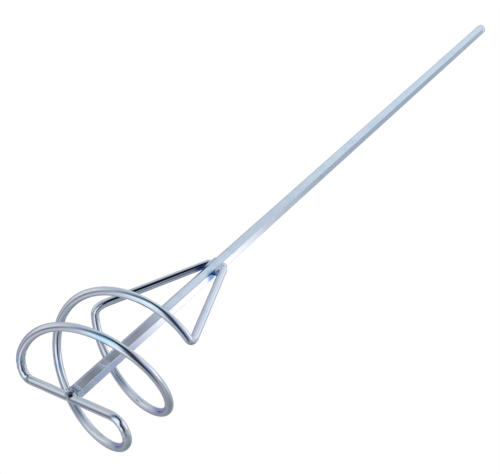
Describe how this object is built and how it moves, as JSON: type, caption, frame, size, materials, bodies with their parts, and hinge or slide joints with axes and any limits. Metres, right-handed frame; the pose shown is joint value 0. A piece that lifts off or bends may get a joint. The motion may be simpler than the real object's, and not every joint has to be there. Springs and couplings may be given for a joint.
{
  "type": "mortar mixing paddle",
  "caption": "Rigid steel mixing paddle: a long hexagonal shaft with two bent rods that coil round its lower end and meet in a cross bar.",
  "frame": {"origin": "centre of the shank's end face, at the drill end of the shaft", "axes": "+Z along the shaft, out of the shank's end towards the drill; +X along rod A's half of the cross bar at the foot"},
  "size_m": [0.083, 0.0836, 0.6],
  "materials": {
    "shaft_zinc": "satin bright zinc plate on drawn hexagonal bar, bluish",
    "rod_zinc": "bright zinc plate on smooth round rod, glossy, bluish with faint violet tints",
    "weld_zinc": "bright zinc plate over weld metal, softly rippled"
  },
  "bodies": {
    "root": {"shaft": "shaft_zinc", "coil_rod_a": "rod_zinc", "coil_rod_b": "rod_zinc", "strut_weld_a": "weld_zinc", "strut_weld_b": "weld_zinc", "foot_weld_front": "weld_zinc", "foot_weld_back": "weld_zinc"}
  },
  "joints": []
}
